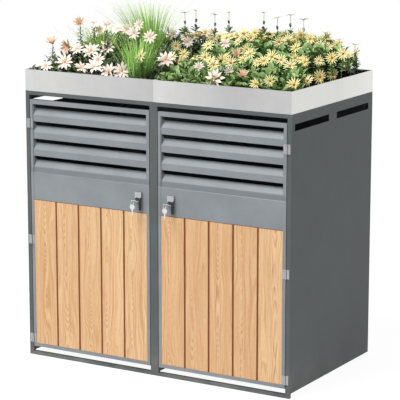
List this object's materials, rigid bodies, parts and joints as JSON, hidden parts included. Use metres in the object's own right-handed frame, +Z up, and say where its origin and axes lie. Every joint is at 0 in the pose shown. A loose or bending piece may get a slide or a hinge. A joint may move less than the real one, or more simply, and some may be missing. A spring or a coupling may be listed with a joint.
{
  "type": "bin store",
  "caption": "Folded metal cabinet for wheeled bins: louvred doors with wood panels, key locks, and planter trays of flowers and grass as its roof",
  "frame": {"origin": "on the ground, in the middle of the width and of the depth over the keys", "axes": "+Z up, the doors face -Y, +X to the right as seen from the front"},
  "size_m": [1.38, 0.836, 1.6344],
  "materials": {
    "anthracite_paint": "satin",
    "door_paint": "satin",
    "zinc": "matte",
    "stainless": "satin",
    "lock_metal": "polished",
    "key_metal": "gloss",
    "oak": "satin",
    "black_plastic": "matte",
    "compost": "matte",
    "foliage": "matte",
    "grass": "matte",
    "pink_petals": "matte",
    "yellow_petals": "matte"
  },
  "bodies": {
    "cabinet": {"left_side_panel": "anthracite_paint", "right_side_panel": "anthracite_paint", "centre_wall": "anthracite_paint", "left_back_panel": "anthracite_paint", "right_back_panel": "anthracite_paint", "left_post": "anthracite_paint", "right_post": "anthracite_paint", "centre_post": "anthracite_paint", "left_sill": "anthracite_paint", "right_sill": "anthracite_paint", "left_head_rail": "anthracite_paint", "right_head_rail": "anthracite_paint", "rear_sill": "anthracite_paint", "left_door_stop": "anthracite_paint", "right_door_stop": "anthracite_paint", "rear_bolts": "stainless", "tray_bearers": "anthracite_paint", "drain_spouts": "black_plastic", "hinge_post_leaves": "stainless", "hinge_pins": "stainless", "hinge_post_screws": "stainless", "left_tray": "zinc", "right_tray": "zinc", "left_soil": "compost", "right_soil": "compost", "left_foliage": "foliage", "right_foliage": "foliage", "grass_tuft": "grass", "rear_grass_tuft": "grass", "short_grass_tuft": "grass", "pink_daisies": "pink_petals", "yellow_daisies": "yellow_petals", "bud_stems": "foliage"},
    "left_door": {"left_door_frame": "door_paint", "left_louvre_panel": "door_paint", "left_wood_panel": "oak", "left_door_rails": "door_paint", "left_hinge_leaves": "stainless", "left_hinge_screws": "stainless", "left_lock_body": "lock_metal", "left_lock_nut": "lock_metal"},
    "left_lock": {"left_lock_plug": "lock_metal", "left_lock_cam": "lock_metal", "left_key": "key_metal"},
    "left_ring": {"left_key_ring": "key_metal"},
    "left_spare": {"left_spare_key": "key_metal"},
    "right_door": {"right_door_frame": "door_paint", "right_louvre_panel": "door_paint", "right_wood_panel": "oak", "right_door_rails": "door_paint", "right_hinge_leaves": "stainless", "right_hinge_screws": "stainless", "right_lock_body": "lock_metal", "right_lock_nut": "lock_metal"},
    "right_lock": {"right_lock_plug": "lock_metal", "right_lock_cam": "lock_metal", "right_key": "key_metal"},
    "right_ring": {"right_key_ring": "key_metal"},
    "right_spare": {"right_spare_key": "key_metal"}
  },
  "joints": [
    {"name": "left_door_hinge", "type": "hinge", "parent": "cabinet", "child": "left_door", "pos_m": [-0.6685, -0.36551, 0.625], "axis": [0, 0, -1], "range_deg": [0, 170]},
    {"name": "left_lock_turn", "type": "hinge", "parent": "left_door", "child": "left_lock", "pos_m": [-0.085, -0.36201, 0.806], "axis": [0, -1, 0], "range_deg": [0, 90]},
    {"name": "left_ring_swing", "type": "hinge", "parent": "left_lock", "child": "left_ring", "pos_m": [-0.085, -0.39831, 0.806], "axis": [-1, 0, 0], "range_deg": [0, 60]},
    {"name": "left_spare_swing", "type": "hinge", "parent": "left_ring", "child": "left_spare", "pos_m": [-0.085, -0.40609, 0.78722], "axis": [0, -1, 0], "range_deg": [-60, 60]},
    {"name": "right_door_hinge", "type": "hinge", "parent": "cabinet", "child": "right_door", "pos_m": [0.6685, -0.36551, 0.625], "axis": [0, 0, 1], "range_deg": [0, 170]},
    {"name": "right_lock_turn", "type": "hinge", "parent": "right_door", "child": "right_lock", "pos_m": [0.085, -0.36201, 0.806], "axis": [0, 1, 0], "range_deg": [0, 90]},
    {"name": "right_ring_swing", "type": "hinge", "parent": "right_lock", "child": "right_ring", "pos_m": [0.085, -0.39831, 0.806], "axis": [-1, 0, 0], "range_deg": [0, 60]},
    {"name": "right_spare_swing", "type": "hinge", "parent": "right_ring", "child": "right_spare", "pos_m": [0.085, -0.40609, 0.78722], "axis": [0, 1, 0], "range_deg": [-60, 60]}
  ]
}
